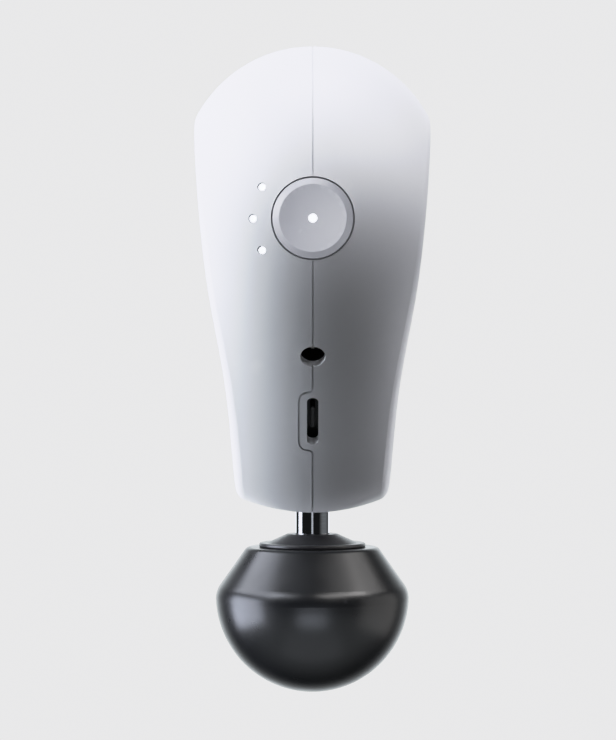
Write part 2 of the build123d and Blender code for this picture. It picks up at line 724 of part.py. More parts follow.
# ---------------------------------------------------------------- battery
CELL_BACK_Y = CELL_FRONT_Y + CELL_LONG
STRIP_THICK = 0.3
STRIP_WIDE = 7.0
HOLDER_WALL = 1.5
HOLDER_END = 1.8
HOLDER_CUP = 4.5
HOLDER_WINDOW_R = 6.0
LEAD_NOTCH = 3.4            # gap in the holders' top edge for the lead that runs forward

with BuildPart() as battery_cells:
    for x, z in CELL_SPOTS:
        with BuildSketch(facing_back(x, CELL_FRONT_Y, z)):
            Circle(CELL_R)
        extrude(amount=CELL_LONG)
    fillet(battery_cells.edges().filter_by(GeomType.CIRCLE), radius=0.8)
save(battery_cells.part, "battery_cells")


def strip_shape(ends):
    """Round-ended bar between two cell centres, in the XZ plane."""
    (x0, z0), (x1, z1) = ends
    turn = math.degrees(math.atan2(z1 - z0, x1 - x0))
    with Locations(Location(((x0 + x1) / 2, (z0 + z1) / 2, 0), (0, 0, turn))):
        SlotCenterToCenter(math.hypot(x1 - x0, z1 - z0), STRIP_WIDE)


FRONT_LINK = [CELL_SPOTS[0], CELL_SPOTS[1]]
BACK_LINK = [CELL_SPOTS[1], CELL_SPOTS[2]]

with BuildPart() as cell_strips:
    with BuildSketch(facing_front(0, CELL_FRONT_Y, 0)):
        strip_shape(FRONT_LINK)
    extrude(amount=STRIP_THICK)
    with BuildSketch(facing_front(0, CELL_BACK_Y + STRIP_THICK, 0)):
        strip_shape(BACK_LINK)
    extrude(amount=STRIP_THICK)
save(cell_strips.part, "cell_strips")


def holder(end_y, inward):
    """Cup around one end of the three cells, opening along the inward direction (+1 or -1)."""
    seat_y = end_y - inward * (STRIP_THICK + 0.1)
    outside_y = seat_y - inward * HOLDER_END
    with BuildPart() as cup:
        with BuildSketch(facing_front(0, outside_y, 0)):
            with Locations(*CELL_SPOTS):
                Circle(CELL_R + HOLDER_WALL)
            make_hull()
        extrude(amount=-inward * (HOLDER_END + STRIP_THICK + HOLDER_CUP))
        with BuildSketch(facing_front(0, seat_y, 0)):
            with Locations(*CELL_SPOTS):
                Circle(CELL_R + RUNNING_GAP)
            strip_shape(FRONT_LINK)
            strip_shape(BACK_LINK)
        extrude(amount=-inward * REACH / 4, mode=Mode.SUBTRACT)
        with BuildSketch(facing_front(0, outside_y, 0)):
            with Locations(*CELL_SPOTS):
                Circle(HOLDER_WINDOW_R)
        extrude(amount=-inward * HOLDER_END, mode=Mode.SUBTRACT)
        with Locations((0, end_y, CELL_SPOTS[0][1] + CELL_R)):
            Box(LEAD_NOTCH, REACH / 4, 7, mode=Mode.SUBTRACT)
        add(room_form, mode=Mode.INTERSECT)
    return cup.part


with BuildPart() as cell_holders:
    add(holder(CELL_FRONT_Y, 1))
    add(holder(CELL_BACK_Y, -1))
save(cell_holders.part, "cell_holders")

# ---------------------------------------------------------------- power button
CAP_R = 9.2
CAP_RIM_Y = -66.9
CAP_CREST_Y = -68.0
CAP_CREST_R = 7.71
DISH_Y = -67.3
DISH_RISE = 0.17           # how far the dish has risen half way out to its rim
CAP_FLANGE_R = 10.3
CAP_FLANGE_FRONT_Y = -63.7
CAP_FLANGE_BACK_Y = -62.5
CAP_HOLLOW_R = 7.2
CAP_HOLLOW_Y = -65.6
STEM_R = 2.2
STEM_END_Y = -55.6
LENS_R = 0.95

with BuildPart() as power_button:
    with BuildSketch(Plane.XY.offset(BUTTON_Z)):
        with BuildLine():
            ThreePointArc((0, DISH_Y), (CAP_CREST_R / 2, DISH_Y - DISH_RISE), (CAP_CREST_R, CAP_CREST_Y))
            Polyline(
                (CAP_CREST_R, CAP_CREST_Y), (CAP_R, CAP_RIM_Y), (CAP_R, CAP_FLANGE_FRONT_Y),
                (CAP_FLANGE_R, CAP_FLANGE_FRONT_Y), (CAP_FLANGE_R, CAP_FLANGE_BACK_Y),
                (CAP_HOLLOW_R, CAP_FLANGE_BACK_Y), (CAP_HOLLOW_R, CAP_HOLLOW_Y),
                (STEM_R, CAP_HOLLOW_Y), (STEM_R, STEM_END_Y), (0, STEM_END_Y), (0, DISH_Y),
            )
        make_face()
    revolve(axis=Axis((0, 0, BUTTON_Z), (0, 1, 0)))
    crests = power_button.edges().filter_by(GeomType.CIRCLE)
    fillet(crests.filter_by(lambda e: abs(e.radius - CAP_CREST_R) < 0.01), radius=0.25)
    fillet(crests.filter_by(lambda e: abs(e.radius - CAP_R) < 0.01 and e.center().Y < -66), radius=0.4)
    with BuildSketch(facing_front(0, STEM_END_Y, BUTTON_Z)):
        Circle(LENS_R)
    extrude(amount=20, mode=Mode.SUBTRACT)
save(power_button.part, "power_button")

with BuildPart() as button_lens:
    with BuildSketch(facing_front(0, STEM_END_Y - 0.4, BUTTON_Z)):
        Circle(LENS_R)
    extrude(amount=STEM_END_Y - 0.4 - DISH_Y)
save(button_lens.part, "button_lens")

SPRING_R = 5.4
SPRING_WIRE_R = 0.3
SPRING_PITCH = 2.2
SPRING_END_GAP = 0.1
with BuildPart() as button_spring:
    with BuildLine() as coil:
        Helix(SPRING_PITCH, BOARD_Y - CAP_HOLLOW_Y - 2 * (SPRING_WIRE_R + SPRING_END_GAP), SPRING_R,
              center=(0, BOARD_Y - SPRING_WIRE_R - SPRING_END_GAP, BUTTON_Z), direction=(0, -1, 0))
    with BuildSketch(Plane(origin=coil.line @ 0, z_dir=coil.line % 0)):
        Circle(SPRING_WIRE_R)
    sweep(path=coil.line, is_frenet=True)
save(button_spring.part, "button_spring")

# ---------------------------------------------------------------- control board and its bracket
COLLAR_IN_R = 10.7
COLLAR_OUT_R = 12.2
COLLAR_FRONT_Y = -62.9
EAR_HALF_WIDE = 3.0
EAR_THICK = 2.0
EAR_SCREW_ZS = [BUTTON_Z - 14.4, BUTTON_Z + 14.4]

with BuildPart() as control_bracket:
    with BuildSketch(facing_front(0, BOARD_Y, BUTTON_Z)):
        Circle(COLLAR_OUT_R)
    extrude(amount=BOARD_Y - COLLAR_FRONT_Y)
    with Locations((0, BOARD_Y - EAR_THICK / 2, BUTTON_Z)):
        Box(2 * EAR_HALF_WIDE, EAR_THICK, 32)
    with BuildSketch(facing_front(0, BOARD_Y, BUTTON_Z)):
        Circle(COLLAR_IN_R)
    extrude(amount=BOARD_Y - COLLAR_FRONT_Y, mode=Mode.SUBTRACT)
    for z in EAR_SCREW_ZS:
        with BuildSketch(facing_front(0, BOARD_Y, z)):
            Circle(0.9)
        extrude(amount=EAR_THICK, mode=Mode.SUBTRACT)
    add(room_form, mode=Mode.INTERSECT)
save(control_bracket.part, "control_bracket")

with BuildPart() as control_board:
    with Locations((0, BOARD_Y + BOARD_THICK / 2, (BOARD_LOW_Z + BOARD_HIGH_Z) / 2)):
        Box(2 * BOARD_HALF_WIDE, BOARD_THICK, BOARD_HIGH_Z - BOARD_LOW_Z)
    fillet(control_board.edges().filter_by(Axis.Y), radius=2)
    for z in EAR_SCREW_ZS:
        with BuildSketch(facing_back(0, BOARD_Y, z)):
            Circle(0.9)
        extrude(amount=BOARD_THICK, mode=Mode.SUBTRACT)
save(control_board.part, "control_board")

with BuildPart() as bracket_screws:
    for z in EAR_SCREW_ZS:
        with BuildSketch(facing_front(0, BOARD_Y + BOARD_THICK, z)):
            Circle(0.9)
        extrude(amount=BOARD_THICK + EAR_THICK)
        with BuildSketch(facing_front(0, BOARD_Y - EAR_THICK, z)):
            Circle(1.7)
        extrude(amount=1.0)
save(bracket_screws.part, "bracket_screws")

with BuildPart() as button_switch:
    with Locations((0, BOARD_Y - 1.0, BUTTON_Z)):
        Box(6, 2, 6)
    with BuildSketch(facing_front(0, BOARD_Y - 2, BUTTON_Z)):
        Circle(1.5)
    extrude(amount=0.4)
save(button_switch.part, "button_switch")

BOARD_BACK_Y = BOARD_Y + BOARD_THICK
with BuildPart() as board_parts:
    with Locations((-9.5, BOARD_BACK_Y + 0.6, 106.5)):
        Box(7, 1.2, 7)
    for x in (6, 12):
        with Locations((x, BOARD_BACK_Y + 1.1, 104.5)):
            Box(5, 2.2, 6)
    with Locations((10, BOARD_BACK_Y + 1.75, 118)):
        Box(6.5, 3.5, 6.5)
    with BuildSketch(facing_back(-10, BOARD_BACK_Y, 119)):
        Circle(3.15)
    extrude(amount=6.5)
    for angle in LIGHT_ANGLES:
        x, z = light_spot(angle)
        with Locations((x, BOARD_Y - 0.5, z)):
            Box(1.6, 1.0, 1.6)
save(board_parts.part, "board_parts")

save(light_rods(LIGHT_HOLE_R - 0.03, BOARD_Y - 1.3), "light_pipes")

# ---------------------------------------------------------------- charging socket
JACK_BACK = 12.0            # depths below the housing surface, along the socket axis
JACK_BORE_BACK = 10.5
JACK_R = 5.2
JACK_BORE_R = 3.5
JACK_PIN_R = 1.0
JACK_PIN_FRONT = 4.2

with BuildPart() as charging_jack:
    with BuildSketch(charge_plane.offset(-JACK_BACK)):
        Circle(JACK_R)
    extrude(amount=JACK_BACK - 1.5)
    add(lining_form, mode=Mode.INTERSECT)
    with BuildSketch(charge_plane.offset(-JACK_BORE_BACK)):
        Circle(JACK_BORE_R)
    extrude(amount=JACK_BORE_BACK, mode=Mode.SUBTRACT)
    with BuildSketch(charge_plane.offset(-JACK_BACK)):
        Circle(JACK_PIN_R)
    extrude(amount=JACK_BACK - JACK_BORE_BACK, mode=Mode.SUBTRACT)
save(charging_jack.part, "charging_jack")

with BuildPart() as jack_pin:
    with BuildSketch(charge_plane.offset(-JACK_BACK)):
        Circle(JACK_PIN_R)
    extrude(amount=JACK_BACK - JACK_PIN_FRONT)
    fillet(jack_pin.faces().sort_by(Axis.Z)[0].edges(), radius=0.4)
save(jack_pin.part, "jack_pin")

# ---------------------------------------------------------------- vent baffle
BAFFLE_BACK = 5.2           # depths below the housing surface
BAFFLE_FLOOR = 3.9
BAR_TOP = 1.3
BAR_LONG = 7.3
BAR_WIDE = 1.3
POCKET_MARGIN = 0.6
with BuildPart() as vent_baffle:
    with BuildSketch(vent_plane.offset(-BAFFLE_BACK)):
        SlotOverall(20, 7, rotation=90)
    extrude(amount=BAFFLE_BACK - 1)
    add(lining_form, mode=Mode.INTERSECT)
    with BuildSketch(vent_plane.offset(-BAFFLE_FLOOR)):
        SlotOverall(VENT_LONG + POCKET_MARGIN, VENT_WIDE + POCKET_MARGIN, rotation=90)
    extrude(amount=BAFFLE_FLOOR, mode=Mode.SUBTRACT)
    with BuildSketch(vent_plane.offset(-BAFFLE_BACK)):
        SlotOverall(BAR_LONG, BAR_WIDE, rotation=90)
    extrude(amount=BAFFLE_BACK - BAR_TOP)
    bar_top = vent_baffle.faces().sort_by(Axis((0, 0, 0), vent_plane.z_dir))[-1]
    fillet(bar_top.edges(), radius=0.55)
save(vent_baffle.part, "vent_baffle")

# ---------------------------------------------------------------- wiring
LEAD_R = 0.7
PHASE_R = 0.6
PHASE_XS = [-3.0, 0, 3.0]
PHASE_Y = 14.2
PHASE_Z = 113.0
BACK_RUN_Y = 39.5
TOP_RUN_Z = 149.6
FRONT_DROP_Y = -45.5
BATTERY_PAD_Z = 132.6
CHARGE_PAD_Z = 109.8
JACK_TAIL = 4.5             # straight run behind the socket before its leads turn up

with BuildPart() as battery_leads:
    with BuildSketch(facing_front(3, CELL_FRONT_Y, CELL_SPOTS[2][1])):
        Circle(LEAD_R)
    extrude(amount=CELL_FRONT_Y - BOARD_BACK_Y)
    add(wire_run([
        (CELL_SPOTS[0][0], CELL_BACK_Y, CELL_SPOTS[0][1]),
        (CELL_SPOTS[0][0], BACK_RUN_Y, CELL_SPOTS[0][1]),
        (0, BACK_RUN_Y, TOP_RUN_Z),
        (0, FRONT_DROP_Y, TOP_RUN_Z),
        (0, FRONT_DROP_Y, BATTERY_PAD_Z),
        (0, BOARD_BACK_Y, BATTERY_PAD_Z),
    ], LEAD_R, 2.5))
save(battery_leads.part, "battery_leads")

with BuildPart() as motor_leads:
    for x in PHASE_XS:
        low_z = MOTOR_Z + math.sqrt(FLANGE_R**2 - max(abs(x) - PHASE_R, 0) ** 2)
        add(wire_run([(x, PHASE_Y, low_z), (x, PHASE_Y, PHASE_Z), (x, BOARD_BACK_Y, PHASE_Z)],
                     PHASE_R, 4.0))
save(motor_leads.part, "motor_leads")

tail = charge_plane.offset(-JACK_BACK).origin
turn = charge_plane.offset(-JACK_BACK - JACK_TAIL).origin
with BuildPart() as charge_leads:
    for x in (-2.4, 2.4):
        add(wire_run([(x, tail.Y, tail.Z), (x, turn.Y, turn.Z), (x, turn.Y, CHARGE_PAD_Z),
                      (x, BOARD_BACK_Y, CHARGE_PAD_Z)], LEAD_R, 2.0))
save(charge_leads.part, "charge_leads")
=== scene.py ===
import math

import bpy
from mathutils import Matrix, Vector
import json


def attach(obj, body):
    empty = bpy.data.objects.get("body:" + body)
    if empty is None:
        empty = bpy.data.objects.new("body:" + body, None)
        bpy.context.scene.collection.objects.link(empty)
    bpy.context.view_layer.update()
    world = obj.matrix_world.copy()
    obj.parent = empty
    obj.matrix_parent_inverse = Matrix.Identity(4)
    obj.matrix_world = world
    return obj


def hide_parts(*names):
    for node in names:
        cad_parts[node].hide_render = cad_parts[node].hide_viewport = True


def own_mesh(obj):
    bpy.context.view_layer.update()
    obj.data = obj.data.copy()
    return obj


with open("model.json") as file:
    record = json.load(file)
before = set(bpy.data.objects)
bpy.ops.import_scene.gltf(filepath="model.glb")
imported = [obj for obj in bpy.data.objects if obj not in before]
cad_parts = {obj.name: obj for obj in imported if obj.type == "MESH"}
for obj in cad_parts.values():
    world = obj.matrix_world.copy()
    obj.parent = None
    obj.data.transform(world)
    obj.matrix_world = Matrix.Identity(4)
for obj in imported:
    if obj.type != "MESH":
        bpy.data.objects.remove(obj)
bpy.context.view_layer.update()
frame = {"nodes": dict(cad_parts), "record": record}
scene = bpy.context.scene
nodes = frame["nodes"]
slot_of = {part["node"]: part["material_slot"] for part in frame["record"]["subparts"]}


# ---------------------------------------------------------------- material helpers
def ranged(tree, value, low, high, start, end):
    """Node that takes the value from start..end to low..high and holds it there."""
    made = tree.nodes.new("ShaderNodeMapRange")
    for socket, number in (("From Min", start), ("From Max", end), ("To Min", low), ("To Max", high)):
        made.inputs[socket].default_value = number
    tree.links.new(value, made.inputs["Value"])
    return made


class Surface:
    """Principled material whose colour, roughness and bump come from small procedural textures."""

    def __init__(self, name, roughness, **sockets):
        self.name = name
        self.material = bpy.data.materials.new(name)
        self.material.use_nodes = True
        self.tree = self.material.node_tree
        self.shader = self.tree.nodes["Principled BSDF"]
        self.shader.inputs["Roughness"].default_value = roughness
        for socket, value in sockets.items():
            self.shader.inputs[socket.replace("_", " ")].default_value = value
        self.place = self.node("ShaderNodeTexCoord").outputs["Object"]

    def node(self, kind, **settings):
        made = self.tree.nodes.new(kind)
        for key, value in settings.items():
            setattr(made, key, value)
        return made

    def link(self, a, b):
        self.tree.links.new(a, b)

    def noise(self, scale, detail=3.0, stretch=(1, 1, 1)):
        """Noise over the object's own coordinates in metres, finer along an axis with a larger stretch."""
        mapping = self.node("ShaderNodeMapping")
        mapping.inputs["Scale"].default_value = stretch
        self.link(self.place, mapping.inputs["Vector"])
        noise = self.node("ShaderNodeTexNoise")
        noise.inputs["Scale"].default_value = scale
        noise.inputs["Detail"].default_value = detail
        self.link(mapping.outputs["Vector"], noise.inputs["Vector"])
        return noise.outputs["Fac"]

    def spread(self, value, low=0.0, high=1.0, start=0.3, end=0.7):
        """The value taken from start..end, which is where most of a noise lies, to low..high."""
        return ranged(self.tree, value, low, high, start, end).outputs["Result"]

    def colour(self, dark, light, value):
        """Colour between two tones by a 0..1 value."""
        mix = self.node("ShaderNodeMix", data_type="RGBA")
        mix.inputs["A"].default_value = (*dark, 1)
        mix.inputs["B"].default_value = (*light, 1)
        self.link(value, mix.inputs["Factor"])
        self.link(mix.outputs["Result"], self.shader.inputs["Base Color"])
        return mix

    def over(self, mix, tone, value):
        """A further tone laid over an earlier colour mix by a 0..1 value."""
        top = self.node("ShaderNodeMix", data_type="RGBA")
        self.link(mix.outputs["Result"], top.inputs["A"])
        top.inputs["B"].default_value = (*tone, 1)
        self.link(value, top.inputs["Factor"])
        self.link(top.outputs["Result"], self.shader.inputs["Base Color"])

    def rough(self, value, low, high):
        """Roughness from low to high as a noise rises."""
        self.link(self.spread(value, low, high), self.shader.inputs["Roughness"])

    def bump(self, value, depth, strength):
        """Relief of the given depth in metres."""
        bump = self.node("ShaderNodeBump")
        bump.inputs["Strength"].default_value = strength
        bump.inputs["Distance"].default_value = depth
        self.link(value, bump.inputs["Height"])
        self.link(bump.outputs["Normal"], self.shader.inputs["Normal"])

    def edges(self, amount, start=0.52, end=0.6):
        """The amount on convex edges and 0 elsewhere, easing in as the pointiness goes start..end."""
        geometry = self.node("ShaderNodeNewGeometry")
        return self.spread(geometry.outputs["Pointiness"], 0.0, amount, start, end)


def tone(base, factor):
    """The colour made lighter or darker by a factor."""
    return tuple(min(1.0, part * factor) for part in base)


# ---------------------------------------------------------------- materials
PLASTIC_IOR = 1.5


def moulded(name, base, roughness, grain=2.0e-5, coat=0.0, spot=0.05):
    """Moulded plastic: faint mottling, fine spark-eroded grain, slightly paler edges."""
    s = Surface(name, roughness, IOR=PLASTIC_IOR, Coat_Weight=coat, Coat_Roughness=0.2)
    mottle = s.spread(s.noise(scale=45, detail=4))
    mix = s.colour(tone(base, 1 - spot), tone(base, 1 + spot), mottle)
    s.over(mix, tone(base, 1.12), s.edges(0.35))
    fine = s.noise(scale=2600, detail=2)
    s.rough(fine, roughness - 0.05, roughness + 0.05)
    s.bump(fine, depth=grain, strength=0.5)
    return s


def metal(name, base, roughness, brushed=(1, 1, 1), scale=900, relief=6e-6, wear=0.12):
    """Bare metal with fine grain, in turned or drawn lines where it is brushed, and brighter worn edges."""
    s = Surface(name, roughness, Metallic=1.0)
    lines = s.noise(scale, stretch=brushed)
    mix = s.colour(tone(base, 0.88), tone(base, 1.08), s.spread(lines))
    s.over(mix, tone(base, 1.35), s.edges(wear))
    s.rough(lines, roughness * 0.75, roughness * 1.3)
    s.bump(lines, depth=relief, strength=0.6)
    return s


def rubber(name, base, roughness):
    """Soft elastomer: satin, with a very fine grain, a little sheen and broad paler patches."""
    s = Surface(name, roughness, IOR=PLASTIC_IOR, Sheen_Weight=0.08, Sheen_Roughness=0.4)
    s.colour(tone(base, 0.85), tone(base, 1.2), s.spread(s.noise(scale=60, detail=5)))
    fine = s.noise(scale=2200, detail=2)
    s.rough(fine, roughness - 0.06, roughness + 0.06)
    s.bump(fine, depth=1.5e-5, strength=0.4)
    return s


def light_guide():
    """Light guide that is switched on: an even glow over faintly cloudy white."""
    s = Surface("light_white", 0.3, IOR=1.49, Emission_Color=(0.90, 0.96, 1.0, 1), Emission_Strength=4.5)
    white = (0.92, 0.95, 1.0)
    cloud = s.noise(scale=1500, detail=2)
    s.colour(tone(white, 0.9), white, s.spread(cloud))
    s.bump(cloud, depth=5e-6, strength=0.3)
    return s


def housing_plastic():
    """Fine matte white shell plastic, slightly paler on its edges."""
    s = Surface("housing_white", 0.42, IOR=1.47)
    mottle = s.spread(s.noise(scale=22, detail=4))
    mix = s.colour((0.80, 0.805, 0.83), (0.83, 0.835, 0.855), mottle)
    s.over(mix, (0.90, 0.90, 0.91), s.edges(0.4, 0.54, 0.62))
    fine = s.noise(scale=3200, detail=2)
    s.rough(fine, 0.40, 0.50)
    s.bump(fine, depth=1.0e-5, strength=0.35)
    return s


def head_skin():
    """Satin black elastomer of the ball, with handling marks that catch the light."""
    s = Surface("head_black", 0.3, IOR=PLASTIC_IOR)
    mottle = s.spread(s.noise(scale=38, detail=5))
    mix = s.colour((0.005, 0.0055, 0.0065), (0.009, 0.0095, 0.011), mottle)
    s.over(mix, (0.04, 0.04, 0.045), s.edges(0.4, 0.53, 0.6))
    s.rough(s.noise(scale=130, detail=6), 0.27, 0.32)
    s.bump(s.noise(scale=1800, detail=2), depth=1.2e-5, strength=0.35)
    return s


def cell_wrap():
    """Shrink sleeve: glossy film with faint drawn lines along the cell."""
    s = Surface("cell_sleeve", 0.3, IOR=PLASTIC_IOR)
    lines = s.noise(scale=700, stretch=(1, 0.05, 1))
    s.colour((0.035, 0.10, 0.30), (0.05, 0.15, 0.40), s.spread(lines))
    s.rough(lines, 0.22, 0.36)
    s.bump(lines, depth=1e-5, strength=0.5)
    return s


def circuit_board():
    """Solder mask over copper: tracks show as slightly lighter, raised lines."""
    s = Surface("board_green", 0.35, IOR=PLASTIC_IOR)
    upright = s.node("ShaderNodeMapping")       # the pattern is flat in XY, and the board stands in XZ
    upright.inputs["Rotation"].default_value = (math.radians(90), 0, 0)
    s.link(s.place, upright.inputs["Vector"])
    tracks = s.node("ShaderNodeTexBrick")
    tracks.inputs["Scale"].default_value = 260
    tracks.inputs["Mortar Size"].default_value = 0.08
    s.link(upright.outputs["Vector"], tracks.inputs["Vector"])
    s.colour((0.012, 0.10, 0.04), (0.03, 0.20, 0.09), tracks.outputs["Fac"])
    s.rough(s.noise(scale=900), 0.3, 0.42)
    s.bump(tracks.outputs["Fac"], depth=2e-5, strength=0.5)
    return s


def banded(s, scale, distortion=0.0):
    """Bands one after another along Y, the motor's axis."""
    bands = s.node("ShaderNodeTexWave", wave_type="BANDS", bands_direction="Y")
    bands.inputs["Scale"].default_value = scale
    bands.inputs["Distortion"].default_value = distortion
    s.link(s.place, bands.inputs["Vector"])
    return bands.outputs["Fac"]


def windings():
    """Enamelled copper wound in close turns."""
    s = Surface("copper_wire", 0.3, Metallic=1.0)
    turns = banded(s, scale=900, distortion=0.6)
    s.colour((0.34, 0.12, 0.05), (0.75, 0.33, 0.14), turns)
    s.rough(s.noise(scale=500), 0.22, 0.38)
    s.bump(turns, depth=8e-5, strength=0.8)
    return s


def laminations():
    """Stack of thin electrical-steel sheets, seen as fine lines across the core."""
    s = Surface("stator_steel", 0.4, Metallic=1.0)
    sheets = banded(s, scale=640)
    s.colour((0.12, 0.12, 0.13), (0.36, 0.36, 0.38), sheets)
    s.rough(s.noise(scale=800), 0.32, 0.5)
    s.bump(sheets, depth=3e-5, strength=0.7)
    return s


surfaces = [
    housing_plastic(),
    metal("screw_steel", (0.50, 0.50, 0.52), 0.3, wear=0.3),
    rubber("plug_rubber", (0.66, 0.66, 0.67), 0.6),
    rubber("black_rubber", (0.02, 0.02, 0.02), 0.6),
    metal("chassis_alloy", (0.55, 0.56, 0.58), 0.45, scale=1400, relief=2e-5),
    metal("bush_bronze", (0.50, 0.33, 0.15), 0.42, scale=2200, relief=1e-5),
    metal("bearing_steel", (0.60, 0.60, 0.62), 0.16, brushed=(1, 12, 1), scale=500, relief=3e-6),
    laminations(),
    windings(),
    cell_wrap(),
    metal("nickel", (0.62, 0.61, 0.57), 0.3, brushed=(1, 1, 8), relief=5e-6),
    moulded("inner_black_plastic", (0.035, 0.035, 0.04), 0.5),
    circuit_board(),
    moulded("switch_black", (0.02, 0.02, 0.02), 0.45),
    moulded("chip_black", (0.03, 0.03, 0.033), 0.55, spot=0.12),
    light_guide(),
    moulded("socket_black", (0.014, 0.014, 0.016), 0.4),
    metal("contact_steel", (0.5, 0.49, 0.46), 0.25, brushed=(1, 1, 6), relief=4e-6),
    rubber("lead_red", (0.36, 0.02, 0.02), 0.5),
    rubber("lead_black", (0.02, 0.02, 0.02), 0.5),
    metal("rotor_metal", (0.09, 0.09, 0.10), 0.35, brushed=(1, 10, 1), scale=600, relief=5e-6, wear=0.5),
    metal("magnet_dark", (0.25, 0.25, 0.26), 0.3),
    metal("crank_steel", (0.40, 0.40, 0.42), 0.3, brushed=(1, 14, 1), scale=500, wear=0.3),
    moulded("yoke_plastic", (0.70, 0.68, 0.61), 0.5, grain=3e-5),
    metal("shaft_chrome", (0.72, 0.73, 0.76), 0.06, brushed=(1, 1, 14), scale=420, relief=1.2e-6, wear=0.1),
    moulded("head_core_black", (0.018, 0.018, 0.02), 0.36, coat=0.1, spot=0.1),
    head_skin(),
    moulded("button_grey", (0.70, 0.71, 0.75), 0.36, grain=1.2e-5, spot=0.02),
    metal("spring_steel", (0.45, 0.45, 0.47), 0.25),
]
materials = {surface.name: surface.material for surface in surfaces}
for node, thing in nodes.items():
    for place in thing.material_slots:
        place.material = materials[slot_of[node]]

# ---------------------------------------------------------------- button spring
# It sits between the cap and the board. A copy of it with a mesh of its own is hung on the power key in
# place of the part.
return_spring = bpy.data.objects.new("return_spring", nodes["button_spring"].data.copy())
return_spring.matrix_world = nodes["button_spring"].matrix_world
scene.collection.objects.link(return_spring)
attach(return_spring, "power_key")
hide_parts("button_spring")
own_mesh(return_spring)

# ---------------------------------------------------------------- floor and backdrop
FLOOR_Z = -0.35
FLOOR_R = 1.6
FLOOR_SIDES = 96
FLOOR_GLOW = 0.80           # it glows like a light table, because no lamp lights it
bpy.ops.mesh.primitive_circle_add(vertices=FLOOR_SIDES, radius=FLOOR_R, fill_type="NGON",
                                  location=(0, 0, FLOOR_Z))
floor = bpy.context.object
floor.name = "floor"
paper = Surface("studio_floor", 0.9, Emission_Color=(1, 1, 0.95, 1), Emission_Strength=FLOOR_GLOW)
paper.colour((0.08, 0.08, 0.08), (0.10, 0.10, 0.10), paper.spread(paper.noise(scale=3, detail=2)))
paper.bump(paper.noise(scale=500, detail=2), depth=1e-4, strength=0.1)
floor.data.materials.append(paper.material)
floor.visible_diffuse = False
floor.visible_glossy = False

# A card on the left, neither seen nor mirrored, shades the flat left cheek from the low side light.
CARD_X = -0.085
CARD_YS = (0.015, 0.16)
CARD_ZS = (-0.02, 0.115)
bpy.ops.mesh.primitive_plane_add(size=1, location=(CARD_X, sum(CARD_YS) / 2, sum(CARD_ZS) / 2),
                                 rotation=(0, math.radians(90), 0))
card = bpy.context.object
card.name = "side_card"
card.scale = (CARD_ZS[1] - CARD_ZS[0], CARD_YS[1] - CARD_YS[0], 1)
card.data.materials.append(paper.material)
card.visible_camera = False
card.visible_diffuse = False
card.visible_glossy = False

world = bpy.data.worlds.new("studio")
scene.world = world
world.use_nodes = True
sky = world.node_tree
sky.nodes.remove(sky.nodes["Background"])
rays = sky.nodes.new("ShaderNodeLightPath")
heading = sky.nodes.new("ShaderNodeSeparateXYZ")
sky.links.new(sky.nodes.new("ShaderNodeTexCoord").outputs["Generated"], heading.inputs["Vector"])


def rise(axis, start, end, low, high):
    """Brightness that eases from low to high as one component of the direction goes start..end."""
    ramp = ranged(sky, heading.outputs[axis], low, high, start, end)
    ramp.interpolation_type = "SMOOTHSTEP"
    return ramp.outputs["Result"]


def combine(operation, a, b):
    """Two brightnesses added or multiplied."""
    sums = sky.nodes.new("ShaderNodeMath")
    sums.operation = operation
    sky.links.new(a, sums.inputs[0])
    sky.links.new(b, sums.inputs[1])
    return sums.outputs["Value"]


def glow(colour, strength=None):
    """Background of one colour, at full strength or at a strength worked out by a node."""
    shade = sky.nodes.new("ShaderNodeBackground")
    shade.inputs["Color"].default_value = (*colour, 1)
    if strength:
        sky.links.new(strength, shade.inputs["Strength"])
    return shade.outputs["Background"]


def choose(when, no, yes):
    """One background for the rays of a kind, and another for all the rest."""
    mix = sky.nodes.new("ShaderNodeMixShader")
    sky.links.new(rays.outputs[when], mix.inputs["Fac"])
    sky.links.new(no, mix.inputs[1])
    sky.links.new(yes, mix.inputs[2])
    return mix.outputs["Shader"]


# Matt faces get a weak fill from both sides.
right_fill = rise("X", start=0.3, end=1.0, low=0.02, high=0.10)
left_fill = rise("X", start=-0.3, end=-1.0, low=0.0, high=0.08)
matt = glow((0.93, 0.96, 1.0), combine("ADD", right_fill, left_fill))

# Glossy faces mirror a bright paper behind the object, a weak light on its right and a pale table
# below its front. Towards the camera it is dim.
behind = rise("Y", start=0.6, end=1.0, low=0.0, high=1.8)
right = rise("X", start=0.72, end=1.0, low=0.012, high=0.20)
below = rise("Z", start=-0.15, end=-0.45, low=0.0, high=1.0)
in_front = rise("Y", start=0.5, end=-0.3, low=0.0, high=0.6)
table = combine("MULTIPLY", below, in_front)
mirrored = combine("ADD", combine("ADD", table, right), behind)
glossy = glow((0.92, 0.97, 1.0), mirrored)

# The camera sees an even paper sweep.
seen = glow((0.905, 0.905, 0.86))
backdrop = choose("Is Camera Ray", choose("Is Glossy Ray", matt, glossy), seen)
sky.links.new(backdrop, sky.nodes["World Output"].inputs["Surface"])

# ---------------------------------------------------------------- lights
MIDDLE = Vector((0, 0, 0.09))       # the point that every soft light faces
shown = {**nodes, "button_spring": return_spring}


def around(azimuth, elevation, distance):
    """Point at a distance from MIDDLE, with its bearing taken from the front and positive to the right."""
    turn, lift = math.radians(azimuth), math.radians(elevation)
    out = distance * math.cos(lift)
    return MIDDLE + Vector((math.sin(turn) * out, -math.cos(turn) * out, distance * math.sin(lift)))


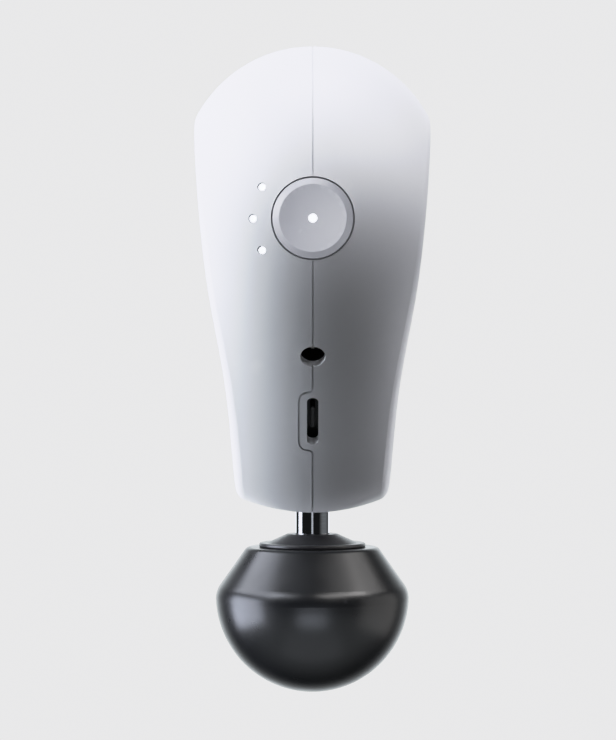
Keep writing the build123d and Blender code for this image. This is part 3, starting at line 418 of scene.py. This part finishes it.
def softbox(name, where, width, height, power, colour, lit_nodes):
    """Rectangular soft light that faces MIDDLE and lights only the nodes it is given."""
    data = bpy.data.lights.new(name, "AREA")
    data.shape = "RECTANGLE"
    data.size = width
    data.size_y = height
    data.energy = power
    data.color = colour
    lamp = bpy.data.objects.new(name, data)
    lamp.location = where
    lamp.rotation_euler = (MIDDLE - where).to_track_quat("-Z", "Y").to_euler()
    scene.collection.objects.link(lamp)
    receivers = bpy.data.collections.new(name + "_lights")
    for node in lit_nodes:
        receivers.objects.link(shown[node])
    lamp.light_linking.receiver_collection = receivers


COOL = (0.90, 0.94, 1.0)
PALE = (0.96, 0.96, 1.0)
WARM = (1.0, 0.98, 0.97)
head = ("head_ball", "head_core")
button = ("power_button",)
shaft = ("output_shaft",)
body = tuple(node for node in nodes if node not in head + button + shaft)
shells = ("left_shell", "right_shell")
softboxes = [       # name, azimuth, elevation, distance, width, height, power, colour, nodes it lights
    ("left_wall", -94, -10, 0.9, 0.55, 0.66, 17.0, COOL, body),
    ("left_bank", -78, 40, 0.9, 0.90, 0.36, 6.0, COOL, body),
    ("right_bank", 66, 46, 0.9, 0.85, 0.26, 3.0, PALE, body),
    ("top", 0, 86, 0.9, 0.60, 0.60, 7.3, PALE, body),
    ("front", -8, 38, 0.9, 0.60, 0.50, 1.1, PALE, shells),
    ("right_low", 114, -34, 0.9, 0.80, 0.60, 5.8, PALE, shells),
    ("shaft_left", -90, 0, 0.9, 0.46, 0.66, 3.2, COOL, shaft),
    ("shaft_right", 68, 44, 0.9, 0.85, 0.26, 4.3, PALE, shaft),
    ("shaft_front", 0, -3, 0.6, 0.13, 0.24, 0.055, COOL, shaft),
    ("button_front", -12, 4, 0.7, 0.50, 0.40, 1.8, PALE, button),
    ("button_left", -86, 22, 0.9, 0.80, 0.60, 6.6, PALE, button),
    ("button_top", 0, 80, 0.9, 0.60, 0.60, 3.0, PALE, button),
    ("button_right", 80, -20, 0.9, 0.80, 0.60, 1.6, PALE, button),
    ("head_wall", -86, -8, 0.9, 0.80, 0.74, 16.0, (0.84, 0.88, 1.0), head),
    ("head_left", -84, 38, 0.9, 1.16, 0.44, 10.5, (0.88, 0.91, 1.0), head),
    ("head_left_near", -40, 38, 0.9, 0.46, 0.36, 1.9, (0.90, 0.93, 1.0), head),
    ("head_right", 46, 42, 0.9, 0.90, 0.32, 6.4, WARM, head),
    ("head_right_far", 92, 40, 0.9, 0.60, 0.34, 2.0, WARM, head),
    ("head_edge", 90, -8, 0.9, 0.95, 0.90, 2.8, (1.0, 0.97, 0.95), head),
    ("head_front", 0, -28, 0.9, 0.50, 0.26, 1.6, (0.82, 0.88, 1.0), head),
    ("head_low", 0, -62, 0.9, 0.90, 0.60, 0.8, (0.86, 0.90, 1.0), head),
]
for name, azimuth, elevation, distance, width, height, power, colour, lit_nodes in softboxes:
    softbox(name, around(azimuth, elevation, distance), width, height, power, colour, lit_nodes)

# The lamps' glow is seen, but it doesn't wash out the rims of the holes around them.
lamps = bpy.data.collections.new("lamps")
for node in ("light_pipes", "button_lens"):
    lamps.objects.link(nodes[node])
    nodes[node].light_linking.receiver_collection = lamps

# ---------------------------------------------------------------- camera
CAMERA_AT = (-0.0011, -0.640, 0.0815)
LENS_MM = 122.7
SENSOR_MM = 36
NEAREST = 0.01              # closer than this nothing is drawn
camera_data = bpy.data.cameras.new("camera")
camera_data.lens = LENS_MM
camera_data.sensor_width = SENSOR_MM
camera_data.clip_start = NEAREST
camera = bpy.data.objects.new("camera", camera_data)
camera.location = CAMERA_AT
camera.rotation_euler = (math.radians(90), 0, 0)        # level, looking along +Y
scene.collection.objects.link(camera)
scene.camera = camera

# ---------------------------------------------------------------- tone
BRIGHTEST = 5.0             # scene brightness that reaches the top of the curve
COOLER = 0.035              # how far blue rises above red and green in the palest tones
PALE_FROM = 0.6             # scene brightness at which blue starts to rise
PALE_SPAN = 0.5             # and how much brighter it is when the rise is complete
scene.view_settings.view_transform = "Standard"
scene.view_settings.use_curve_mapping = True
exposure_curve = scene.view_settings.curve_mapping
exposure_curve.white_level = (BRIGHTEST,) * 3
tones = [                   # scene brightness, shown brightness
    (0.02, 0.017),
    (0.14, 0.118),
    (0.305, 0.300),
    (0.577, 0.62),
    (0.80, 0.775),
    (1.1, 0.85),
    (1.7, 0.885),
    (3.2, 0.915),
]
for curve, lift in zip(exposure_curve.curves, (0, 0, COOLER)):      # red, green, blue
    for scene_tone, shown_tone in tones:
        palest = min(max((scene_tone - PALE_FROM) / PALE_SPAN, 0), 1)
        curve.points.new(scene_tone / BRIGHTEST, shown_tone + lift * palest)
exposure_curve.update()
